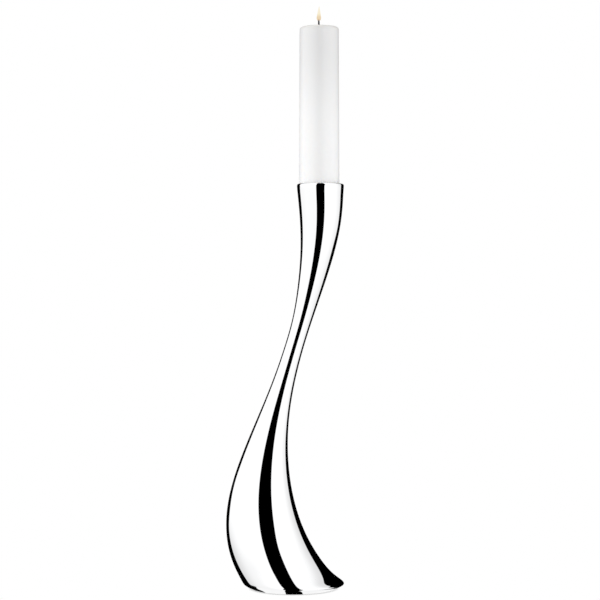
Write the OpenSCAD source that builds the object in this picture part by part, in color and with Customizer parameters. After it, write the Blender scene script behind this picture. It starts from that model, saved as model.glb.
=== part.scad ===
// Tall S-shaped candlestick of polished steel sheet, with a pillar candle on a spike.
// Millimetres, +Z up. The origin is on the floor, under the centre of the foot.
// +X is the side that the foot flares to, and the body is the same on both sides of Y = 0.

/* [Stand] */
// Height from the floor to the top of the lip
stand_height = 600; // [500:5:720]
// Width of the foot at its widest
foot_diameter = 150; // [138:1:180]
// Width of the body at the neck, where it is thinnest
neck_width = 28; // [24:0.5:34]
// How far the belly swings to the left of the foot's centre
belly_swing = 50; // [30:1:60]
// How far the mouth stands to the right of the foot's centre
mouth_shift = 40; // [20:1:60]
// Thickness of the body's sheet
sheet = 1.2; // [0.8:0.1:1.5]

/* [Mouth] */
// Height of the ring that finishes the mouth
ring_height = 12; // [10:0.5:16]
// Wall of the ring at its lower edge, where the body is welded to it
ring_wall = 1.1; // [0.9:0.1:1.8]
// How much the ring's radius grows from its lower edge to the lip
lip_flare = 0.65; // [0.3:0.05:1.2]
// Rounding of the lip's outer edge
lip_round = 2.2; // [1.2:0.1:2.4]
// Height of the shoulder in the ring that the dish comes up against, below the lip
shoulder_drop = 2.8; // [2.6:0.1:3.5]
// Wall of the candle dish
dish_wall = 0.8; // [0.5:0.1:1]
// Room between the candle and the dish's wall, in radius
dish_play = 2.15; // [1.9:0.05:3]
// Inner rounding of the dish's lower corner
dish_corner = 2.2; // [1:0.1:2.5]
// Width of the bar that carries the dish
bridge_width = 22; // [18:1:30]
// Thickness of the bar that carries the dish
bridge_thickness = 4; // [3:0.5:6]

/* [Spike] */
// Height of the spike above the dish's floor
spike_height = 30; // [20:1:36]
// Thickness of the spike at its foot
spike_base = 7; // [5:0.5:8]
// Thickness of the spike's threaded shank
spike_shank = 8; // [6:1:8]
// Width of the spike's flange
flange_width = 16; // [14:1:18]
// Thickness of the spike's flange
flange_thickness = 1.5; // [1:0.1:2]
// Width of the spike's nut across its flats
nut_flats = 13; // [12:0.5:15]
// Height of the spike's nut
nut_height = 6.5; // [5:0.5:8]
// Thickness of the flat washer
washer_thickness = 1.6; // [1:0.1:2]
// Thickness of the lock washer
lock_thickness = 2.2; // [1.6:0.1:2.6]

/* [Foot] */
// Width of the round opening in the foot's turned-in edge
foot_opening = 120; // [112:1:124]
// Height of the turned-in edge above the floor
edge_lift = 0.6; // [0.3:0.1:1]
// Thickness of the felt under the foot
felt_thickness = 2; // [1.5:0.1:3]
// Thickness of the plate that closes the foot
plate_thickness = 3; // [3:0.5:4]
// Thickness of the ring welded inside the foot
base_ring_thickness = 3; // [2:0.5:4]
// Distance of the base screws from the plate's edge
screw_inset = 6; // [5:0.5:8]
// How far that ring reaches in past the base screws
ring_land = 6; // [5:0.5:10]
// Thickness of the base screws
base_screw = 4; // [3:0.5:4]
// Length of the base screws
base_screw_length = 10; // [8:1:12]
// Height of the threaded bosses on the base ring
boss_height = 6; // [4:0.5:7]

/* [Ballast] */
// Height of the ballast's wide lower tier
low_tier = 21; // [18:1:22]
// Height of the ballast's upper tier
high_tier = 24; // [12:1:26]
// Room kept between the ballast and the outside of the body, measured sideways
ballast_room = 5; // [4:0.5:8]
// Rounding of the casting's edges
casting_round = 3; // [1:0.5:4]
// Thickness of the sheet that stops the ballast rattling
damper_thickness = 1; // [0.5:0.1:2]
// Distance of the ballast bolts from the damper sheet's edge
bolt_inset = 16; // [8:1:24]
// Thickness of the ballast bolts
ballast_bolt = 5; // [4:0.5:5]
// Length of the ballast bolts
ballast_bolt_length = 18; // [14:1:18]

/* [Candle] */
// Width of the candle at its base
candle_diameter = 60; // [50:1:70]
// Length of the candle
candle_length = 245; // [150:5:300]
// How much narrower the candle is at its top
candle_taper = 1.7; // [0:0.1:2.4]
// Rounding of the candle's shoulder
candle_shoulder = 4; // [2:0.5:6]
// Rounding of the candle's lower edge
candle_edge = 3; // [2.6:0.1:4]
// Depth of the hollow melted round the wick
melt_depth = 2; // [0.5:0.5:3]
// How far the candle stands to the left of the spike
candle_offset = 1.8; // [0:0.1:1.8]
// Thickness of the wick
wick_width = 2; // [1.6:0.1:3]
// Length of wick that stands out of the wax
wick_out = 12; // [6:1:16]

/* [Hidden] */
$fn = 96;

// Clearances
weld_gap = 0.3;      // between a welded piece and the sheet it is welded to
thread_fit = 0.03;   // radial, between a thread and its hole
hole_fit = 0.25;     // radial, between a screw and a plain hole
slide_fit = 0.05;    // radial, between a fitted piece and its seat
head_sink = 0.1;     // how far a screw's head lies below flush
wax_gap = 0.4;       // between the spike and the hole it makes in the wax

// Mouth
dish_bore_r = candle_diameter / 2 + dish_play;
dish_r = dish_bore_r + dish_wall;
ring_bore_r = dish_r + slide_fit;
mouth_r = ring_bore_r + ring_wall;
shell_top = stand_height - ring_height;
dish_floor = shell_top;
bridge_top = dish_floor - dish_wall;
bridge_under = bridge_top - bridge_thickness;
washer_under = bridge_under - washer_thickness;
lock_under = washer_under - lock_thickness;
nut_under = lock_under - nut_height;
shank_end = nut_under - 3;
shank_r = spike_shank / 2;

// Foot
foot_r = foot_diameter / 2;
opening_r = foot_opening / 2;
plate_top = felt_thickness + plate_thickness;
base_ring_top = plate_top + base_ring_thickness;
plate_r = opening_r - 2 * hole_fit;
felt_r = plate_r - 1;
screw_circle = plate_r - screw_inset;
ring_opening_r = screw_circle - ring_land;
damper_r = ring_opening_r - 5 * weld_gap;
bolt_circle = damper_r - bolt_inset;
ballast_under = plate_top + damper_thickness;

// Candle
candle_x = mouth_shift - candle_offset;
candle_r = candle_diameter / 2;
candle_top_r = candle_r - candle_taper / 2;
candle_top = dish_floor + candle_length;
wick_r = wick_width / 2;
wick_start = dish_floor + spike_height + 12;
wick_end = candle_top + wick_out;

// ---------------------------------------------------------------- the body's shape
// The body is a smooth skin through level stations. Each station gives
// [height, sideways place of the middle, half width, half depth over half width, skew],
// where skew moves the front and back of the section sideways, in shares of the half width.

function mix(a, b, share) = a + (b - a) * share;

// A station of the foot's rounded edge: lift above the turned-in edge, sideways place,
// and half width as a share of the way from the opening to the foot's full radius.
function edge_station(lift, side, share) =
    [edge_lift + lift, side, mix(opening_r, foot_r, share), 1, 0];

// A station from the foot up to the neck, in hundredths: height of the shell, swing to the
// left, widening from the neck to the foot, depth over width, skew.
function belly_station(h, swing, wide, depth, skew) =
    [shell_top * h / 100, -belly_swing * swing / 100,
     mix(neck_width / 2, foot_r, wide / 100), depth / 100, skew / 100];

// A station from the neck up to the mouth, in hundredths: height of the shell, shift to the
// right, widening from the neck to the mouth, depth over width.
function throat_station(h, shift, wide, depth) =
    [shell_top * h / 100, mouth_shift * shift / 100,
     mix(neck_width / 2, mouth_r, wide / 100), depth / 100, 0];

stations = [
    edge_station(0, 0, 0),
    edge_station(0, 0, 0.08),
    edge_station(0, 0, 0.12),
    edge_station(4.5, 0, 0.78),
    edge_station(7.1, 1.7, 1.09),
    edge_station(15.8, -7.8, 0.77),
    belly_station(5.2, 38, 88.5, 97, 2),
    belly_station(9, 62.5, 82.5, 94, 5),
    belly_station(14, 84.5, 73, 88.5, 8.5),
    belly_station(20.7, 97.5, 60.5, 84.5, 12),
    belly_station(28.2, 95.5, 44.5, 83, 13.5),
    belly_station(36.4, 80, 27, 86, 12.5),
    belly_station(44.8, 55.5, 12, 88.5, 9),
    belly_station(53, 26.5, 3, 90, 4.5),
    belly_station(60.5, 0, 0, 90.5, 2),
    throat_station(68, 34.5, 2, 93),
    throat_station(76.2, 65, 25.5, 93),
    throat_station(85, 91.5, 56, 94),
    throat_station(93.2, 103, 85, 97.5),
    throat_station(100, 100, 100, 100)
];
spans = len(stations) - 1;
rings_per_span = 3;
rings = spans * rings_per_span;
half_steps = 22;

// One more station beyond each end lets the curve run right up to the end stations.
line = concat([2 * stations[0] - stations[1]], stations,
              [2 * stations[spans] - stations[spans - 1]]);

// The section of the body at u, which counts stations from 0 at the turned-in edge.
// The stations steer a uniform cubic B-spline.
function body_at(u) =
    let (i = min(floor(u), spans - 1), f = u - i)
    (pow(1 - f, 3) * line[i]
     + (3 * pow(f, 3) - 6 * pow(f, 2) + 4) * line[i + 1]
     + (-3 * pow(f, 3) + 3 * pow(f, 2) + 3 * f + 1) * line[i + 2]
     + pow(f, 3) * line[i + 3]) / 6;

// A point of the section s, at t degrees round it from +X.
function skin_point(s, t) =
    [s[1] + s[2] * (cos(t) + s[4] * pow(sin(t), 2)), s[2] * s[3] * sin(t), s[0]];

// The point one sheet's thickness inside it. lo and hi are the sections just below and above.
function lining_point(lo, s, hi, t) =
    let (round_way = skin_point(s, t + 1) - skin_point(s, t - 1),
         up_way = skin_point(hi, t) - skin_point(lo, t),
         out = cross(round_way, up_way))
    skin_point(s, t) - sheet * out / norm(out);

function lining_ring(u, from) =
    let (reach = 0.02, lo = body_at(max(u - reach, 0)), s = body_at(u),
         hi = body_at(min(u + reach, spans)), last = u >= spans)
    [for (k = [0:half_steps])
        let (p = lining_point(lo, s, hi, from + 180 * k / half_steps))
        last ? [p[0], p[1], shell_top] : p];

function skin_ring(u, from) =
    let (s = body_at(u)) [for (k = [0:half_steps]) skin_point(s, from + 180 * k / half_steps)];

// One pressed half of the body, from `from` degrees to 180 degrees further round.
module body_half(from) {
    row = half_steps + 1;
    inside = (rings + 1) * row;
    points = concat(
        [for (r = [0:rings]) each skin_ring(r / rings_per_span, from)],
        [for (r = [0:rings]) each lining_ring(r / rings_per_span, from)]);
    skin_faces = [for (r = [0:rings - 1], k = [0:half_steps - 1])
        let (a = r * row + k) [a, a + row, a + row + 1, a + 1]];
    lining_faces = [for (r = [0:rings - 1], k = [0:half_steps - 1])
        let (a = inside + r * row + k) [a, a + 1, a + row + 1, a + row]];
    first_seam = [for (r = [0:rings - 1])
        let (a = r * row) [a, inside + a, inside + a + row, a + row]];
    last_seam = [for (r = [0:rings - 1])
        let (a = r * row + half_steps) [a, a + row, inside + a + row, inside + a]];
    foot_edge = [for (k = [0:half_steps - 1]) [k, k + 1, inside + k + 1, inside + k]];
    top_edge = [for (k = [0:half_steps - 1])
        let (a = rings * row + k) [a + 1, a, inside + a, inside + a + 1]];
    polyhedron(points, concat(skin_faces, lining_faces, first_seam, last_seam,
                              foot_edge, top_edge), convexity = 8);
}

// The right-hand side of the body's outside at height z, found between two rings.
function right_side(z, u = 4) =
    let (s = body_at(u)) s[0] >= z ? s[1] + s[2] : right_side(z, u + 0.05);

// How far the body's lining lies from the Z axis between two heights, where it is nearest.
function lining_reach(low, high) =
    min([for (u = [1:0.05:7])
        let (lo = body_at(u - 0.02), s = body_at(u), hi = body_at(u + 0.02),
             right = lining_point(lo, s, hi, 0), left = lining_point(lo, s, hi, 180))
        if (right[2] > low && right[2] < high || left[2] > low && left[2] < high)
            min(right[0], -left[0])]);

// ---------------------------------------------------------------- helpers
// Points of an arc about [x, y], from one angle to another.
function arc(x, y, r, from, to, steps = 6) =
    [for (i = [0:steps]) let (t = mix(from, to, i / steps)) [x + r * cos(t), y + r * sin(t)]];

module turned(profile) rotate_extrude() polygon(profile);

// Copies on a circle, the first at `start` degrees.
module around(count, radius, start = 0)
    for (i = [0:count - 1]) rotate(start + 360 * i / count) translate([radius, 0, 0]) children();

// A countersunk screw, head down, with the head's face at its origin.
module sunk_screw(shank, length) {
    r = shank / 2;
    head_r = shank * 0.93;
    difference() {
        turned([[0, 0], [head_r, 0], [r, head_r - r], [r, length], [0, length]]);
        translate([0, 0, -1]) cylinder(d = shank * 0.66, h = 1 + head_r - r, $fn = 6);
    }
}

// The hole for it in a plate whose underside is at z = 0.
module sunk_hole(shank, plate) {
    r = shank / 2 + hole_fit;
    head_r = shank * 0.93 + head_sink + hole_fit;
    turned([[0, -1], [head_r, -1], [head_r, 0], [r, head_r - r], [r, plate + 1], [0, plate + 1]]);
}

// A drum of cast iron, standing on z = 0, with its upper edge rounded.
module drum(r, height, edge)
    turned(concat([[0, 0], [r, 0]], arc(r - edge, height - edge, edge, 0, 90), [[0, height]]));

// ---------------------------------------------------------------- body
module shell_front() color("gainsboro") body_half(180);
module shell_rear() color("gainsboro") body_half(0);

module rim_ring() {
    lip_r = mouth_r + lip_flare;
    inner_round = 0.45;
    shoulder = stand_height - shoulder_drop;
    color("gainsboro") translate([mouth_shift, 0, 0]) turned(concat(
        [[ring_bore_r, shell_top], [mouth_r, shell_top]],
        arc(lip_r - lip_round, stand_height - lip_round, lip_round, 0, 90, 8),
        arc(dish_bore_r + inner_round, stand_height - inner_round, inner_round, 90, 180, 4),
        [[dish_bore_r, shoulder], [ring_bore_r, shoulder]]));
}

// ---------------------------------------------------------------- mouth
module candle_dish() {
    top = stand_height - shoulder_drop - slide_fit;
    hub = dish_bore_r - dish_corner;
    hole_r = shank_r + hole_fit;
    color("silver") translate([mouth_shift, 0, 0]) turned(concat(
        [[hole_r, bridge_top]],
        arc(hub, dish_floor + dish_corner, dish_corner + dish_wall, 270, 360),
        [[dish_r, top], [dish_bore_r, top]],
        arc(hub, dish_floor + dish_corner, dish_corner, 360, 270),
        [[hole_r, dish_floor]]));
}

module dish_bridge() {
    reach = mouth_r - sheet - 3 * weld_gap;
    color("darkgray") translate([mouth_shift, 0, bridge_under]) difference() {
        intersection() {
            cylinder(r = reach, h = bridge_thickness);
            translate([-bridge_width / 2, -reach - 1, -1])
                cube([bridge_width, 2 * reach + 2, bridge_thickness + 2]);
        }
        translate([0, 0, -1]) cylinder(r = shank_r + hole_fit, h = bridge_thickness + 2);
    }
}

module candle_spike() {
    tip_r = 0.4;
    flange_top = dish_floor + flange_thickness;
    flange_r = flange_width / 2;
    chamfer = 0.8;
    color("silver") translate([mouth_shift, 0, 0]) turned(concat(
        [[0, shank_end], [shank_r - chamfer, shank_end], [shank_r, shank_end + chamfer],
         [shank_r, dish_floor], [flange_r, dish_floor], [flange_r, flange_top - 0.4],
         [flange_r - 0.4, flange_top], [spike_base / 2, flange_top]],
        arc(0, dish_floor + spike_height - tip_r, tip_r, 10, 90, 3)));
}

module spike_washer() color("silver") translate([mouth_shift, 0, washer_under]) difference() {
    cylinder(d = 2 * spike_shank, h = washer_thickness);
    translate([0, 0, -1]) cylinder(r = shank_r + hole_fit, h = washer_thickness + 2);
}

module spike_lock_washer() color("silver") translate([mouth_shift, 0, lock_under]) difference() {
    cylinder(d = nut_flats + 0.8, h = lock_thickness);
    translate([0, 0, -1]) cylinder(r = shank_r + hole_fit, h = lock_thickness + 2);
    rotate(30) translate([0, -0.5, -1]) cube([nut_flats, 1, lock_thickness + 2]);
}

module spike_nut() color("silver") translate([mouth_shift, 0, nut_under]) difference() {
    cylinder(d = nut_flats / cos(30), h = nut_height, $fn = 6);
    translate([0, 0, -1]) cylinder(r = shank_r + thread_fit, h = nut_height + 2);
}

// ---------------------------------------------------------------- foot
module base_ring() {
    outer_r = lining_reach(plate_top - weld_gap, base_ring_top + weld_gap) - weld_gap;
    color("darkgray") translate([0, 0, plate_top]) difference() {
        cylinder(r = outer_r, h = base_ring_thickness);
        translate([0, 0, -1]) cylinder(r = ring_opening_r, h = base_ring_thickness + 2);
        around(4, screw_circle, 45) translate([0, 0, -1])
            cylinder(d = base_screw + 2 * hole_fit, h = base_ring_thickness + 2);
    }
}

module base_bosses() color("silver") around(4, screw_circle, 45)
    translate([0, 0, base_ring_top]) difference() {
        cylinder(d = base_screw + 6, h = boss_height);
        translate([0, 0, -1]) cylinder(d = base_screw + 2 * thread_fit, h = boss_height + 2);
    }

module base_plate() color("darkgray") translate([0, 0, felt_thickness]) difference() {
    cylinder(r = plate_r, h = plate_thickness);
    around(4, screw_circle, 45) sunk_hole(base_screw, plate_thickness);
    around(3, bolt_circle, 90) sunk_hole(ballast_bolt, plate_thickness);
}

module damper_sheet() color("saddlebrown") translate([0, 0, plate_top]) difference() {
    cylinder(r = damper_r, h = damper_thickness);
    around(3, bolt_circle, 90) translate([0, 0, -1])
        cylinder(d = ballast_bolt + 2 * hole_fit, h = damper_thickness + 2);
}

// Two drums in one casting. The upper one stands to the left, where the body has room for it.
module ballast() {
    low_r = min(damper_r, right_side(ballast_under + low_tier) - ballast_room);
    top = ballast_under + low_tier + high_tier;
    high_r = (low_r + right_side(top) - ballast_room) / 2;
    thread_depth = ballast_bolt_length - plate_thickness;
    color("dimgray") translate([0, 0, ballast_under]) difference() {
        union() {
            drum(low_r, low_tier, casting_round);
            translate([high_r - low_r, 0, 0]) drum(high_r, low_tier + high_tier, casting_round);
        }
        around(3, bolt_circle, 90) translate([0, 0, -1])
            cylinder(d = ballast_bolt + 2 * thread_fit, h = thread_depth + 2);
    }
}

module ballast_bolts() color("silver") around(3, bolt_circle, 90)
    translate([0, 0, felt_thickness + head_sink]) sunk_screw(ballast_bolt, ballast_bolt_length);

module base_screws() color("silver") around(4, screw_circle, 45)
    translate([0, 0, felt_thickness + head_sink]) sunk_screw(base_screw, base_screw_length);

module felt_base() color("black") cylinder(r = felt_r, h = felt_thickness);

// ---------------------------------------------------------------- candle
module candle_wax() {
    hollow_r = candle_top_r - candle_shoulder;
    recess_r = flange_width / 2 + 2;
    recess_top = dish_floor + flange_thickness + 1;
    color("white") difference() {
        translate([candle_x, 0, 0]) turned(concat(
            [[0, dish_floor]],
            arc(candle_r - candle_edge, dish_floor + candle_edge, candle_edge, 270, 360),
            arc(hollow_r, candle_top - candle_shoulder, candle_shoulder, 0, 90, 8),
            [[hollow_r * 0.75, candle_top - melt_depth * 0.4],
             [hollow_r * 0.45, candle_top - melt_depth * 0.9], [0, candle_top - melt_depth]]));
        translate([candle_x, 0, wick_start])
            cylinder(r = wick_r + thread_fit, h = candle_length);
        translate([mouth_shift, 0, dish_floor - 1])
            cylinder(r = recess_r, h = recess_top - dish_floor + 1);
        translate([mouth_shift, 0, recess_top - 1])
            cylinder(r1 = spike_base / 2 + wax_gap, r2 = 2 * wax_gap,
                     h = spike_height + wax_gap - flange_thickness + 1);
    }
}

module candle_wick() color("dimgray") translate([candle_x, 0, wick_start])
    cylinder(r = wick_r, h = wick_end - wick_start, $fn = 24);

shell_front();
shell_rear();
rim_ring();
candle_dish();
dish_bridge();
candle_spike();
spike_washer();
spike_lock_washer();
spike_nut();
base_ring();
base_bosses();
base_plate();
damper_sheet();
ballast();
ballast_bolts();
base_screws();
felt_base();
candle_wax();
candle_wick();
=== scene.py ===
"""Tall S-shaped candlestick in mirror-polished steel, with a lit pillar candle.

Everything is in metres, in the frame of the CAD model: +Z up, the floor at z = 0, and the
foot's centre on the Z axis. The foot flares to +X, and the body is the same on both sides of
y = 0.
"""

import math
import bmesh
import bpy
from mathutils import Matrix, Vector


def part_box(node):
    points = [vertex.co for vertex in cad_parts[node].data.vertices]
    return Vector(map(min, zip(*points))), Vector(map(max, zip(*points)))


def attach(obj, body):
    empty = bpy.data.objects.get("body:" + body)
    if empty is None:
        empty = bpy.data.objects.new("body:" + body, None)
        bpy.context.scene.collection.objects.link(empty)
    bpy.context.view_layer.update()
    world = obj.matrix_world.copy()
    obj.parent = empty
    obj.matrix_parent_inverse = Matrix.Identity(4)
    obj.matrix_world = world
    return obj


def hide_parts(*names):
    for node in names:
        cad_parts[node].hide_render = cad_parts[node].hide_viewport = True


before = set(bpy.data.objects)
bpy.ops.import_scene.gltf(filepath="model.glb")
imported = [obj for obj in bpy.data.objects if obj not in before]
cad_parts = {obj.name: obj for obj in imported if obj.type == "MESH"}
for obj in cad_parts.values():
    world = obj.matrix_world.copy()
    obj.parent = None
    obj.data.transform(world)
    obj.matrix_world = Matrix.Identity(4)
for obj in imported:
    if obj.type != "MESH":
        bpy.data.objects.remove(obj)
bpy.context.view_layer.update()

MM = 0.001
DEGREE = 180 / math.pi
STAND = "stand"
CANDLE = "candle"


# ------------------------------------------------------------------ sizes, from the frame
def size_box(node):
    """The node's box as two vectors, lowest and highest corner."""
    low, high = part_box(node)
    return Vector(low), Vector(high)


shell_low, shell_high = size_box("shell_front")
ring_low, ring_high = size_box("rim_ring")
dish_low, dish_high = size_box("candle_dish")
wax_low, wax_high = size_box("candle_wax")
wick_high = size_box("candle_wick")[1]

MOUTH_X = (ring_low.x + ring_high.x) / 2
LIP_TOP = ring_high.z
LIP_R = (ring_high.x - ring_low.x) / 2
SHELL_TOP = shell_high.z
SHELL_LOW = shell_low.z
DISH_R = (dish_high.x - dish_low.x) / 2
DISH_WALL = 0.8 * MM
DISH_FLOOR = dish_low.z + DISH_WALL
CANDLE_X = (wax_low.x + wax_high.x) / 2
CANDLE_R = (wax_high.x - wax_low.x) / 2
CANDLE_TOP = wax_high.z
WICK_TOP = wick_high.z
FLAME_FOOT = WICK_TOP - 3.5 * MM
FLAME_TIP = WICK_TOP + 20.5 * MM


# ------------------------------------------------------------------ shader maths
class Val:
    """A socket that can be used in Python sums. Each operation adds one Math node."""

    def __init__(self, shader, socket):
        self.shader = shader
        self.socket = socket

    def _math(self, operation, *args):
        return self.shader.node("ShaderNodeMath", {"operation": operation}, args)

    def __add__(self, other):
        return self._math("ADD", self, other)

    def __radd__(self, other):
        return self._math("ADD", other, self)

    def __sub__(self, other):
        return self._math("SUBTRACT", self, other)

    def __rsub__(self, other):
        return self._math("SUBTRACT", other, self)

    def __mul__(self, other):
        return self._math("MULTIPLY", self, other)

    def __rmul__(self, other):
        return self._math("MULTIPLY", other, self)

    def __gt__(self, other):
        return self._math("GREATER_THAN", self, other)


class Shader:
    """A node tree with one method that adds a node: its settings first, then its inputs."""

    def __init__(self, tree):
        self.tree = tree
        self.tree.nodes.clear()

    def node(self, kind, settings=None, inputs=(), out=0):
        made = self.tree.nodes.new(kind)
        for name, value in (settings or {}).items():
            if name == "stops":
                self._ramp(made.color_ramp, value)
            else:
                setattr(made, name, value)
        pairs = inputs.items() if isinstance(inputs, dict) else enumerate(inputs)
        for key, value in pairs:
            if isinstance(value, Val):
                self.tree.links.new(value.socket, made.inputs[key])
            else:
                made.inputs[key].default_value = value
        return Val(self, made.outputs[out]) if len(made.outputs) else None

    def _ramp(self, ramp, stops):
        while len(ramp.elements) < len(stops):
            ramp.elements.new(0.5)
        for element, (place, colour) in zip(ramp.elements, stops):
            element.position = place
            element.color = colour

    def place(self, scale=(1, 1, 1)):
        """Object coordinates. A scale below 1 stretches a pattern along that axis."""
        coords = self.node("ShaderNodeTexCoord", out="Object")
        return self.node("ShaderNodeVectorMath", {"operation": "MULTIPLY"}, (coords, scale))

    def noise(self, where, scale, detail, roughness=0.5):
        return self.node("ShaderNodeTexNoise", None,
                         {"Vector": where, "Scale": scale, "Detail": detail,
                          "Roughness": roughness})

    def cells(self, where, scale):
        """A value for each cell of a mosaic, the same all over the cell."""
        colour = self.node("ShaderNodeTexVoronoi", None, {"Vector": where, "Scale": scale},
                           out="Color")
        return self.split(colour, 0)

    def split(self, where, axis):
        return self.node("ShaderNodeSeparateXYZ", None, (where,), out=axis)

    def length(self, where):
        return self.node("ShaderNodeVectorMath", {"operation": "LENGTH"}, (where,),
                         out="Value")

    def remap(self, value, zero_at, one_at, smooth=True):
        """0 on one side, 1 on the other and a soft or a straight slope between them."""
        kind = "SMOOTHSTEP" if smooth else "LINEAR"
        return self.node("ShaderNodeMapRange", {"interpolation_type": kind, "clamp": True},
                         (value, zero_at, one_at))

    def blend(self, factor, first, second):
        """Mixes two colours, given as colours or sockets."""
        return self.node("ShaderNodeMix", {"data_type": "RGBA"},
                         {"Factor": factor, 6: first, 7: second}, out=2)

    def bump(self, height, distance, strength=1.0):
        return self.node("ShaderNodeBump", None,
                         {"Strength": strength, "Distance": distance, "Height": height})

    def finish(self, inputs):
        body = self.node("ShaderNodeBsdfPrincipled", None, inputs)
        self.node("ShaderNodeOutputMaterial", None, (body,))

    def finish_glowing(self, colour, inputs):
        """A surface that mirrors nothing and only gives off light of its own."""
        self.finish({"Base Color": grey(0.0), "Roughness": 1.0, "Specular IOR Level": 0.0,
                     "Emission Color": colour, "Emission Strength": 1.0, **inputs})


def material(name):
    made = bpy.data.materials.new(name)
    made.use_nodes = True
    return made, Shader(made.node_tree)


def grey(value):
    return (value, value, value, 1.0)


# ------------------------------------------------------------------ finishes
def mirror_polish():
    """Hand-finished mirror steel: clean, with faint polishing haze and a few hairlines."""
    made, s = material("mirror_polished_steel")
    here = s.place()
    haze = s.noise(here, 9.0, 2.0)
    cloud = s.noise(here, 38.0, 4.0, 0.6)
    wipe = s.noise(s.place(scale=(1, 1, 0.06)), 620.0, 2.0)
    smear = s.remap(haze * 0.6 + cloud * 0.4, 0.42, 0.72)
    rough = 0.012 + smear * 0.016 + s.remap(wipe, 0.6, 0.85) * 0.012
    tint = s.blend(smear, (0.955, 0.957, 0.962, 1), (0.925, 0.928, 0.935, 1))
    s.finish({"Base Color": tint, "Metallic": 1.0, "Roughness": rough,
              "Normal": s.bump(haze, 0.02 * MM)})
    return made


def satin_steel(name, base, rough, across):
    """Drawn or turned steel with fine tool lines. `across` sets which way the lines run."""
    made, s = material(name)
    lines = s.noise(s.place(scale=across), 900.0, 3.0, 0.6)
    cloud = s.noise(s.place(), 60.0, 3.0)
    tint = s.blend(s.remap(cloud, 0.3, 0.7), grey(base), grey(base * 0.86))
    s.finish({"Base Color": tint, "Metallic": 1.0,
              "Roughness": rough + lines * 0.12 + cloud * 0.06,
              "Normal": s.bump(lines, 0.02 * MM, 0.6)})
    return made


def zinc_plate():
    made, s = material("zinc_plated_steel")
    here = s.place()
    spangle = s.cells(here, 900.0)
    cloud = s.noise(here, 160.0, 3.0)
    tint = s.blend(cloud, (0.62, 0.63, 0.64, 1), (0.5, 0.52, 0.55, 1))
    rough = 0.28 + spangle * 0.1 + cloud * 0.1
    s.finish({"Base Color": tint, "Metallic": 1.0, "Roughness": rough,
              "Normal": s.bump(cloud, 0.03 * MM)})
    return made


def cast_iron():
    made, s = material("primed_cast_iron")
    here = s.place()
    sand = s.noise(here, 700.0, 4.0, 0.65)
    lumps = s.noise(here, 90.0, 3.0)
    tint = s.blend(s.remap(sand, 0.3, 0.75), grey(0.022), grey(0.06))
    s.finish({"Base Color": tint, "Metallic": 0.25, "Roughness": 0.62 + sand * 0.25,
              "Normal": s.bump(sand * 0.6 + lumps, 0.4 * MM)})
    return made


def cork_rubber():
    made, s = material("cork_and_rubber")
    dark = s.remap(s.cells(s.place(), 520.0), 0.2, 0.9, smooth=False)
    tint = s.blend(dark, (0.20, 0.115, 0.055, 1), (0.075, 0.05, 0.032, 1))
    s.finish({"Base Color": tint, "Roughness": 0.8 + dark * 0.12,
              "Normal": s.bump(dark, 0.12 * MM)})
    return made


def wool_felt():
    made, s = material("black_wool_felt")
    here = s.place()
    fibres = s.noise(here, 1300.0, 5.0, 0.75)
    mats = s.noise(here, 170.0, 3.0)
    tint = s.blend(s.remap(fibres, 0.3, 0.8), grey(0.010), grey(0.034))
    s.finish({"Base Color": tint, "Roughness": 0.94, "Sheen Weight": 0.5,
              "Sheen Roughness": 0.6,
              "Normal": s.bump(fibres * 0.7 + mats * 0.5, 0.3 * MM)})
    return made


def paraffin():
    """White wax with a soft sheen and fine mottling from the mould. Its colour is painted
    greyer towards the top as painted shade, and the shoulder and melted hollow are painted
    warmer and darker: partly the melted wax's own tone, partly painted shade against the light
    from overhead.
    """
    made, s = material("white_paraffin_wax")
    here = s.place()
    mottle = s.noise(here, 210.0, 4.0, 0.6)
    bloom = s.noise(s.place(scale=(1, 1, 0.3)), 30.0, 3.0)
    pits = s.remap(s.noise(here, 620.0, 2.0), 0.66, 0.8)
    height = s.split(here, 2)
    # Painted shade, with some of the melted wax's own warm tone: the shoulder and hollow are
    # tinted warmer and darker.
    warm_wax_and_shade = s.remap(height, CANDLE_TOP - 6 * MM, CANDLE_TOP - 0.5 * MM)
    # Painted shade: the wax is made greyer towards the top.
    painted_shade_towards_top = s.remap(height, CANDLE_TOP - 170 * MM, CANDLE_TOP - 20 * MM) * 0.9
    clean = s.blend(s.remap(mottle * 0.5 + bloom * 0.5, 0.35, 0.7),
                    grey(0.88), grey(0.86))
    body = s.blend(painted_shade_towards_top, clean, grey(0.74))
    tint = s.blend(warm_wax_and_shade * 0.5, body, (0.62, 0.60, 0.56, 1))
    s.finish({"Base Color": tint, "Roughness": 0.4 + mottle * 0.06 + pits * 0.1,
              "Specular IOR Level": 0.9, "IOR": 1.55,
              "Subsurface Weight": 0.15, "Subsurface Scale": 0.5,
              "Subsurface Radius": (6 * MM, 5 * MM, 4 * MM),
              "Normal": s.bump(mottle * 0.5 - pits * 0.35, 0.06 * MM)})
    return made


def burnt_cotton():
    """Braided cotton, pale and waxed at the foot, charred black towards the end."""
    made, s = material("burnt_cotton_wick")
    here = s.place()
    height = s.split(here, 2)
    char = s.remap(height, CANDLE_TOP - 2.5 * MM, CANDLE_TOP + 0.5 * MM)
    fibre = s.noise(s.place(scale=(1, 1, 0.3)), 2600.0, 3.0)
    waxed = s.blend(fibre, (0.42, 0.38, 0.31, 1), (0.30, 0.26, 0.2, 1))
    burnt = s.blend(fibre, grey(0.010), grey(0.028))
    ember = s.remap(height, WICK_TOP - 1.6 * MM, WICK_TOP - 0.2 * MM)
    s.finish({"Base Color": s.blend(char, waxed, burnt), "Roughness": 0.75 + fibre * 0.2,
              "Specular IOR Level": 0.15,
              "Emission Color": s.blend(ember, (0, 0, 0, 1), (1.0, 0.28, 0.05, 1)),
              "Emission Strength": 0.6, "Normal": s.bump(fibre, 0.1 * MM)})
    return made


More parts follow.
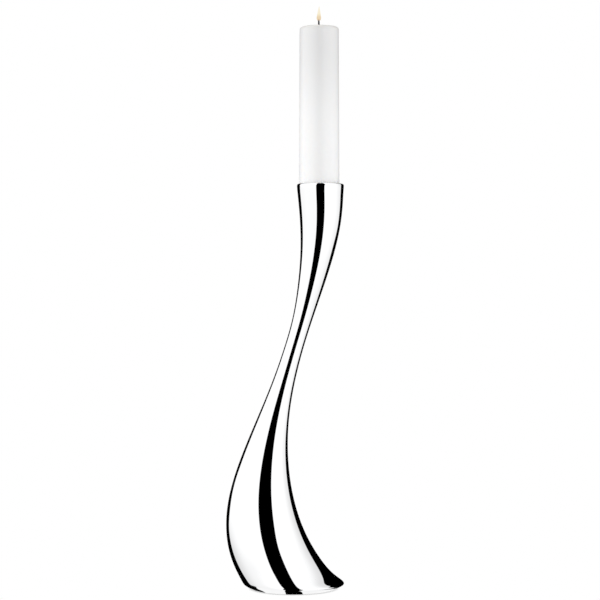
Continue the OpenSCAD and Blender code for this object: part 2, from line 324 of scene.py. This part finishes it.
def flame_glow():
    """A small still flame: bluish and clear at the foot, warm above and pale at the tip."""
    made, s = material("candle_flame")
    height = s.split(s.place(), 2)
    share = s.remap(height, FLAME_FOOT, FLAME_TIP, smooth=False)
    colour = s.node("ShaderNodeValToRGB", {"stops": (
        (0.0, (0.62, 0.60, 0.72, 1)), (0.12, (0.80, 0.62, 0.38, 1)),
        (0.30, (0.84, 0.67, 0.44, 1)), (0.45, (0.93, 0.84, 0.62, 1)),
        (1.0, (0.98, 0.93, 0.82, 1)))}, (share,))
    cover = s.node("ShaderNodeValToRGB", {"stops": (
        (0.0, grey(0.15)), (0.12, grey(0.7)), (0.5, grey(0.85)), (0.85, grey(0.8)),
        (1.0, grey(0.4)))}, (share,))
    s.finish_glowing(colour, {"Alpha": cover})
    return made


# ------------------------------------------------------------------ mesh helpers
def placed(name, bm, finish):
    """Makes an object of a bmesh, gives it its finish and puts it in the scene."""
    mesh = bpy.data.meshes.new(name)
    bm.to_mesh(mesh)
    bm.free()
    mesh.materials.append(finish)
    made = bpy.data.objects.new(name, mesh)
    bpy.context.scene.collection.objects.link(made)
    return made


def piece(name, bm, finish, body):
    """Makes a smooth piece that rides on its body."""
    made = placed(name, bm, finish)
    for face in made.data.polygons:
        face.use_smooth = True
    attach(made, body)
    return made


def subdivide(obj, levels):
    made = obj.modifiers.new("smooth", "SUBSURF")
    made.levels = levels
    made.render_levels = levels
    made.use_limit_surface = True


def spun(profile, axis_x, steps):
    """A turned form: a profile of (radius, height) points, spun about a vertical axis."""
    bm = bmesh.new()
    verts = [bm.verts.new((axis_x + r, 0, z)) for r, z in profile]
    edges = [bm.edges.new(pair) for pair in zip(verts, verts[1:])]
    bmesh.ops.spin(bm, geom=verts + edges, cent=(axis_x, 0, 0), axis=(0, 0, 1),
                   angle=math.tau, steps=steps, use_merge=True)
    bmesh.ops.remove_doubles(bm, verts=bm.verts, dist=0.001 * MM)
    bmesh.ops.recalc_face_normals(bm, faces=bm.faces)
    return bm


def arc(x, y, r, start, end, steps):
    """Points of an arc about (x, y), in degrees."""
    turn = [math.radians(start + (end - start) * i / steps) for i in range(steps + 1)]
    return [(x + r * math.cos(t), y + r * math.sin(t)) for t in turn]


def ring_cage(bm, around, place, before):
    """One more ring of a cage, drawn out from the ring before it and moved to place(angle).

    The first ring has none before it.
    """
    if before is None:
        made = bmesh.ops.create_circle(bm, segments=around, radius=1.0)["verts"]
        ring = sorted(made, key=lambda v: math.atan2(v.co.y, v.co.x) % math.tau)
    else:
        grown = bmesh.ops.extrude_edge_only(bm, edges=loop_edges(before))["geom"]
        made = {g for g in grown if isinstance(g, bmesh.types.BMVert)}
        ring = [next(e.other_vert(v) for e in v.link_edges if e.other_vert(v) in made)
                for v in before]
    for i, v in enumerate(ring):
        v.co = place(math.tau * i / around)
    return ring


def loop_edges(ring):
    """The edges that join a closed ring of vertices."""
    pairs = zip(ring, ring[1:] + ring[:1])
    return [next(e for e in a.link_edges if e.other_vert(a) == b) for a, b in pairs]


# ------------------------------------------------------------------ the polished body
AROUND = 24             # corners of the body's cage
SHEET = 1.2 * MM        # thickness of the sheet
FOOT_R = 75 * MM
OPENING_R = 60 * MM     # the hole in the foot's turned-in edge
NECK_R = 14 * MM        # the body where it is slimmest
BELLY_SWING = 50 * MM   # how far the belly swings to the left
MOUTH_R = 34.1 * MM     # the body just under the lip


def mix(a, b, share):
    return a + (b - a) * share


def edge_station(lift, side, share):
    """A ring of the foot's edge. `lift` and `side` are in millimetres, and `share` is how far
    the ring reaches from the opening to the foot's full radius."""
    return (SHELL_LOW + lift * MM, side * MM, mix(OPENING_R, FOOT_R, share), 1.0, 0.0)


def belly_station(h, swing, wide, depth, skew):
    """A ring from the foot up to the neck, in hundredths of the body's sizes."""
    return (SHELL_TOP * h / 100, -BELLY_SWING * swing / 100,
            mix(NECK_R, FOOT_R, wide / 100), depth / 100, skew / 100)


def throat_station(h, shift, wide, depth):
    """A ring from the neck up to the mouth, in hundredths of the body's sizes."""
    return (SHELL_TOP * h / 100, MOUTH_X * shift / 100,
            mix(NECK_R, MOUTH_R, wide / 100), depth / 100, 0.0)


def lip_station(drop, radius):
    """A ring of the rolled lip: how far it lies below the top, and its radius."""
    return (LIP_TOP - drop, MOUTH_X, radius, 1.0, 0.0)


OUTSIDE = [
    edge_station(0, 0, 0),
    edge_station(0, 0, 0.08),
    edge_station(0, 0, 0.12),
    edge_station(4.5, 0, 0.78),
    edge_station(7.1, 1.7, 1.09),
    edge_station(15.8, -7.8, 0.77),
    belly_station(5.2, 38, 88.5, 97, 2),
    belly_station(9, 62.5, 82.5, 94, 5),
    belly_station(14, 84.5, 73, 88.5, 8.5),
    belly_station(20.7, 97.5, 60.5, 84.5, 12),
    belly_station(28.2, 95.5, 44.5, 83, 13.5),
    belly_station(36.4, 80, 27, 86, 12.5),
    belly_station(44.8, 55.5, 12, 88.5, 9),
    belly_station(53, 26.5, 3, 90, 4.5),
    belly_station(60.5, 0, 0, 90.5, 2),
    throat_station(68, 34.5, 2, 93),
    throat_station(76.2, 65, 25.5, 93),
    throat_station(85, 91.5, 56, 94),
    throat_station(93.2, 103, 85, 97.5),
    throat_station(100, 100, 100, 100),
    lip_station(5 * MM, LIP_R + 0.05 * MM),
    lip_station(1.2 * MM, LIP_R + 0.05 * MM),
    lip_station(-0.1 * MM, LIP_R - 0.9 * MM),
]
LINED = slice(4, 19)    # the rings that the lining follows, from the bevel to under the mouth
BORE_R = DISH_R - DISH_WALL
LIP_INSIDE = [
    lip_station(-0.1 * MM, BORE_R + 0.6 * MM),
    lip_station(0.3 * MM, BORE_R),
    lip_station(2.0 * MM, BORE_R),
    lip_station(2.8 * MM, BORE_R + 0.1 * MM),
    lip_station(2.8 * MM, DISH_R + 0.05 * MM),
    lip_station(10 * MM, DISH_R + 0.05 * MM),
]


def lined(station):
    """The same ring a little more than a sheet's thickness further in."""
    height, side, half, depth, skew = station
    inset = 1.3 * SHEET
    return (height, side, half - inset, (half * depth - inset) / (half - inset), skew)


def section(station):
    """The place of a ring's corners: a circle squashed in depth, skewed at front and back."""
    height, side, half, depth, skew = station
    # A smoothed cage draws in between its corners, so the corners lie a little outside.
    spread = 6 / (4 + 2 * math.cos(math.tau / AROUND))

    def place(turn):
        x = math.cos(turn) + skew * math.sin(turn) ** 2
        return (side + half * spread * x, half * spread * depth * math.sin(turn), height)

    return place


def polished_body():
    """The whole outside in one seamless skin, over the lip and down inside as a lining."""
    lining = [lined(s) for s in reversed(OUTSIDE[LINED])]
    turned_in = 1.1 * SHEET / MM
    inner_edge = [edge_station(5.2, 0, 0.68), edge_station(turned_in, 0, 0.10),
                  edge_station(turned_in, 0, 0)]
    bm = bmesh.new()
    rings = [None]
    for station in OUTSIDE + LIP_INSIDE + lining + inner_edge:
        rings.append(ring_cage(bm, AROUND, section(station), rings[-1]))
    bmesh.ops.bridge_loops(bm, edges=loop_edges(rings[1]) + loop_edges(rings[-1]))
    bmesh.ops.recalc_face_normals(bm, faces=bm.faces)
    made = piece("polished_body", bm, mirror_polish(), STAND)
    subdivide(made, 3)
    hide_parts("shell_front", "shell_rear", "rim_ring")


# ------------------------------------------------------------------ candle
def candle_body():
    """Turned wax with a rounded shoulder and a shallow melted hollow round the wick.

    The foot has a bore for the spike's flange and a tapered hole for its point.
    """
    top_r = CANDLE_R - 0.85 * MM
    shoulder = 4 * MM
    foot = 3 * MM
    bore_r = 10 * MM
    bore_top = DISH_FLOOR + 2.5 * MM
    hole_r = 3.9 * MM
    hole_tip_r = 0.8 * MM
    hole_top = DISH_FLOOR + 30.4 * MM
    # The melted hollow, from the shoulder in to the wick: radius and depth in millimetres.
    hollow = [(22.5, 0.25), (19, 0.8), (15, 1.4), (11, 1.75), (6, 1.9), (2.5, 1.8),
              (1.1, 1.3), (0, 1.2)]
    sides = 24
    around = 96
    profile = [(0, hole_top), (hole_tip_r, hole_top), (hole_r, bore_top),
               (bore_r - 0.8 * MM, bore_top), (bore_r - 0.1 * MM, bore_top - 0.7 * MM),
               (bore_r, DISH_FLOOR)]
    profile += arc(CANDLE_R - foot, DISH_FLOOR + foot, foot, 270, 360, 6)
    profile += [(mix(CANDLE_R, top_r, i / sides),
                 mix(DISH_FLOOR + foot, CANDLE_TOP - shoulder, i / sides))
                for i in range(1, sides)]
    profile += arc(top_r - shoulder, CANDLE_TOP - shoulder, shoulder, 0, 90, 8)
    profile += [(r * MM, CANDLE_TOP - depth * MM) for r, depth in hollow]
    bm = spun(profile, CANDLE_X, around)
    # The hole lies on the spike's axis, a little to one side of the candle's own.
    for v in bm.verts:
        if math.hypot(v.co.x - CANDLE_X, v.co.y) < 1.01 * bore_r and v.co.z < hole_top + MM:
            v.co.x += MOUTH_X - CANDLE_X
    made = piece("candle_body", bm, paraffin(), CANDLE)
    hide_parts("candle_wax")


def wick():
    """Three strands braided into a wick that leans and curls a little at its burnt end."""
    foot = CANDLE_TOP - 2.5 * MM
    length = WICK_TOP - foot
    full_r = 1.4 * MM
    twist = 9.0             # radians from the foot to the end
    rings = 40
    around = 18
    bm = bmesh.new()

    def place_at(share):
        lean = -0.4 * MM * (1 + share ** 2)
        taper = 1.0 - 0.25 * share ** 3

        def place(turn):
            strand = 0.86 + 0.14 * abs(math.cos(1.5 * (turn + share * twist)))
            r = full_r * taper * strand
            return (CANDLE_X + lean + r * math.cos(turn), r * math.sin(turn),
                    foot + length * share)

        return place

    drawn = [None]
    for i in range(rings + 1):
        drawn.append(ring_cage(bm, around, place_at(i / rings), drawn[-1]))
    for end in (drawn[1], drawn[-1]):
        bmesh.ops.contextual_create(bm, geom=loop_edges(end))
    bmesh.ops.recalc_face_normals(bm, faces=bm.faces)
    made = piece("braided_wick", bm, burnt_cotton(), CANDLE)
    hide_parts("candle_wick")


def flame():
    """A teardrop of flame round the wick's end, leaning very slightly."""
    height = FLAME_TIP - FLAME_FOOT
    lean = 0.5 * MM
    around = 32
    # Share of the height, and radius in millimetres.
    outline = [(0.0, 0.0), (0.02, 1.2), (0.07, 2.3), (0.15, 3.2), (0.24, 3.4), (0.34, 3.0),
               (0.46, 2.45), (0.58, 2.1), (0.7, 1.6), (0.82, 1.0), (0.92, 0.5), (1.0, 0.0)]
    profile = [(r * MM, FLAME_FOOT + share * height) for share, r in outline]
    bm = spun(profile, CANDLE_X, around)
    for v in bm.verts:
        share = (v.co.z - FLAME_FOOT) / height
        v.co.x += lean * share ** 1.5 - lean
    made = piece("flame", bm, flame_glow(), CANDLE)
    subdivide(made, 1)
    made.visible_shadow = False


# ------------------------------------------------------------------ build
polished_body()
candle_body()
wick()
flame()


def refinish(finish, *nodes):
    """Gives carried-over CAD nodes a proper finish, and leaves their meshes alone."""
    for name in nodes:
        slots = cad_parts[name].data.materials
        slots.clear()
        slots.append(finish)


refinish(satin_steel("drawn_steel", 0.74, 0.16, (1, 1, 12)), "candle_dish")
refinish(satin_steel("turned_steel", 0.7, 0.14, (0.3, 0.3, 14)), "candle_spike")
refinish(satin_steel("rolled_plate", 0.42, 0.34, (0.2, 6, 1)),
         "dish_bridge", "base_ring", "base_plate")
refinish(zinc_plate(), "spike_washer", "spike_lock_washer", "spike_nut", "base_bosses",
         "ballast_bolts", "base_screws")
refinish(cast_iron(), "ballast")
refinish(cork_rubber(), "damper_sheet")
refinish(wool_felt(), "felt_base")


# ------------------------------------------------------------------ studio
EDGE = 0.7                          # softness of the big cards' edges, in degrees
IN_MM = (1000, 1000, 1000)          # scales Object coordinates to millimetres


class Cove(Shader):
    """The world's node tree, with the direction that its light comes from, in degrees.

    `turn` is 0 towards the front and grows to the right, `aside` is the same without its sign,
    and `rise` is the height above the horizon.
    """

    def __init__(self, tree):
        super().__init__(tree)
        way = self.node("ShaderNodeTexCoord", out="Generated")
        x, y, z = (self.split(way, axis) for axis in range(3))
        turn = self.node("ShaderNodeMath", {"operation": "ARCTAN2"}, (x, -1.0 * y))
        rise = self.node("ShaderNodeMath", {"operation": "ARCSINE"}, (z,))
        self.turn = turn * DEGREE
        self.rise = rise * DEGREE
        self.aside = self.node("ShaderNodeMath", {"operation": "ABSOLUTE"}, (self.turn,))
        self.on_right = self.turn > 0.0

    def step(self, zero_at, one_at):
        """A soft step between two heights."""
        return self.remap(self.rise, zero_at, one_at)

    def by_side(self, left, right):
        return left + self.on_right * (right - left)


def front_card(s):
    """The card behind the camera, which ends almost overhead: 1 on it and 0 off it."""
    left = -21.9 + 2.5 * s.step(-9, -14) + 3.2 * s.step(-2, 13) - 2.4 * s.step(17, 30)
    right = 19.6 - 3.0 * s.step(-16, -22) + 2.9 * s.step(-1, 6) - 3.2 * s.step(17, 30)
    across = s.remap(s.turn - left, -EDGE, EDGE) * s.remap(s.turn - right, EDGE, -EDGE)
    return across * s.step(86, 80)


def past_back_edge(s):
    """Degrees past the back card's edge, on either side. It is below 0 in front of the edge."""
    left = (125.5 - 5.0 * s.step(-8, 2) + 3.0 * s.step(2, 8) - 3.0 * s.step(9, 13)
            - 38.0 * s.step(-24, -50))
    right = 110.0 + 11.0 * s.step(-16, -6) + 6.0 * s.step(-5, 25) - 20.0 * s.step(-20, -40)
    return s.aside - s.by_side(left, right)


def cove_level(s, past_edge, on_matt):
    """How bright the cove is: a little dimmer low down, and falling off softly towards the back
    card. Matt surfaces get more of it, and the most from the left."""
    low = s.by_side(0.12 * s.step(3, -22), 0.1 * s.step(-14, -26))
    fall = s.by_side(0.75 * s.step(4, -16), 0.55 + 0.45 * s.step(-6, 14))
    near_back = s.remap(past_edge, -50, 0)
    from_left = s.remap(s.turn, -20, -60) * s.step(-10, 10)
    matt = 1.0 + on_matt * (0.34 + 0.36 * from_left)
    return (1.08 - low) * (1.0 - 0.27 * near_back * fall) * matt


def studio_world():
    """A white cove lit all round, with two dark cards that draw crisp lines in the polish."""
    world = bpy.data.worlds.new("studio")
    bpy.context.scene.world = world
    world.use_nodes = True
    s = Cove(world.node_tree)
    on_matt = s.node("ShaderNodeLightPath", out="Is Diffuse Ray")
    past_edge = past_back_edge(s)
    back_card = s.remap(past_edge, -EDGE, EDGE) * s.step(66, 60)
    # Matt surfaces see only a part of the cards' darkness.
    dark = s.node("ShaderNodeMath", {"operation": "MAXIMUM"},
                  (front_card(s) * (1.0 - 0.4 * on_matt), back_card * (1.0 - 0.5 * on_matt)))
    light = s.blend(dark, cove_level(s, past_edge, on_matt), grey(0.0))

    # Seen directly, it is plain white straight behind the object and light grey to the sides.
    behind = s.remap(s.aside, 152, 168) * s.step(-22, -13) * s.step(22, 13)
    backdrop = s.blend(behind, grey(0.76), grey(1.0))
    seen = s.node("ShaderNodeLightPath", out="Is Camera Ray")
    glow = s.node("ShaderNodeBackground", None, (s.blend(seen, light, backdrop), 1.0))
    s.node("ShaderNodeOutputWorld", None, (glow,))


def studio_floor():
    """A floor that is clear except for a painted contact shadow: a soft grey ring under the
    foot's edge. The pale backdrop shows through everywhere else.
    """
    shadow_end, shadow_full = 69, 62        # millimetres out from the centre
    deepest = 0.36
    made, s = material("pale_floor")
    # Painted shadow: the floor is seen only in a grey ring, from 69 mm in to 62 mm from the
    # centre.
    shadow = s.remap(s.length(s.place(scale=IN_MM)), shadow_end, shadow_full) * deepest
    paper = s.noise(s.place(), 60.0, 2.0)
    s.finish({"Base Color": s.blend(paper, grey(0.30), grey(0.26)), "Roughness": 0.9,
              "Specular IOR Level": 0.0, "Alpha": shadow})
    bm = bmesh.new()
    bmesh.ops.create_circle(bm, cap_ends=True, segments=96, radius=600 * MM)
    floor = placed("pale_floor", bm, made)
    floor.visible_glossy = False


def reflected(name, bm, finish):
    """A piece of the studio that only mirrors see."""
    card = placed(name, bm, finish)
    card.visible_camera = False
    card.visible_diffuse = False
    card.visible_shadow = False


def floor_disc():
    """A small disc under the foot that glows and is seen only in the polish: a painted
    reflection of a lit floor, white to the left and right of a dark strip, and dark beyond both
    sides."""
    made, s = material("floor_disc")
    here = s.place(scale=IN_MM)
    x = s.split(here, 0)
    out = s.length(here) - OPENING_R / MM

    def border(lean, dark_at, white_at):
        """A border across X, in millimetres, that leans with the way out from the opening."""
        return s.remap(x + lean * out, dark_at, white_at)

    # Painted reflection: where the disc glows white, it stands in for the lit floor seen in the
    # polish.
    white = (border(0.2, -10.2, -11.0) * border(1.2, -41.0, -38.0)
             + border(0.15, 13.8, 14.6) * border(0.8, 69.0, 66.0))
    s.finish_glowing(s.blend(white, grey(0.0), grey(0.98)), {})
    bm = bmesh.new()
    bmesh.ops.create_circle(bm, cap_ends=True, segments=96, radius=86 * MM)
    bmesh.ops.translate(bm, vec=(0, 0, 0.1 * MM), verts=bm.verts)
    reflected("floor_disc", bm, made)


def low_dark_card():
    """An upright card that stands beside the foot's tip, on the right."""
    height, width, turned = 64 * MM, 30 * MM, 23
    centre = (108.8 * MM, -19.8 * MM, 32.2 * MM)
    made, s = material("dark_card")
    weave = s.noise(s.place(), 400.0, 2.0)
    s.finish({"Base Color": s.blend(weave, grey(0.001), grey(0.002)), "Roughness": 1.0,
              "Specular IOR Level": 0.0})
    bm = bmesh.new()
    bmesh.ops.create_grid(bm, x_segments=1, y_segments=1, size=0.5)
    bmesh.ops.scale(bm, vec=(height, width, 1), verts=bm.verts)
    for degrees, axis in ((90, "Y"), (turned, "Z")):
        turn = Matrix.Rotation(math.radians(degrees), 3, axis)
        bmesh.ops.rotate(bm, matrix=turn, verts=bm.verts)
    bmesh.ops.translate(bm, vec=centre, verts=bm.verts)
    reflected("low_dark_card", bm, made)


def camera():
    """Level, at about half the object's height, from straight in front."""
    distance = 2660 * MM
    half_frame = 445.6 * MM     # half the picture's width, at the object
    aim_x = 9.7 * MM
    height = 428 * MM
    made = bpy.data.objects.new("camera", bpy.data.cameras.new("camera"))
    made.data.lens_unit = "FOV"
    made.data.angle = 2 * math.atan(half_frame / distance)
    made.location = (aim_x, -distance, height)
    made.rotation_euler = (math.pi / 2, 0, 0)
    bpy.context.scene.collection.objects.link(made)
    bpy.context.scene.camera = made


studio_world()
studio_floor()
floor_disc()
low_dark_card()
camera()
bpy.context.scene.view_settings.view_transform = "Standard"
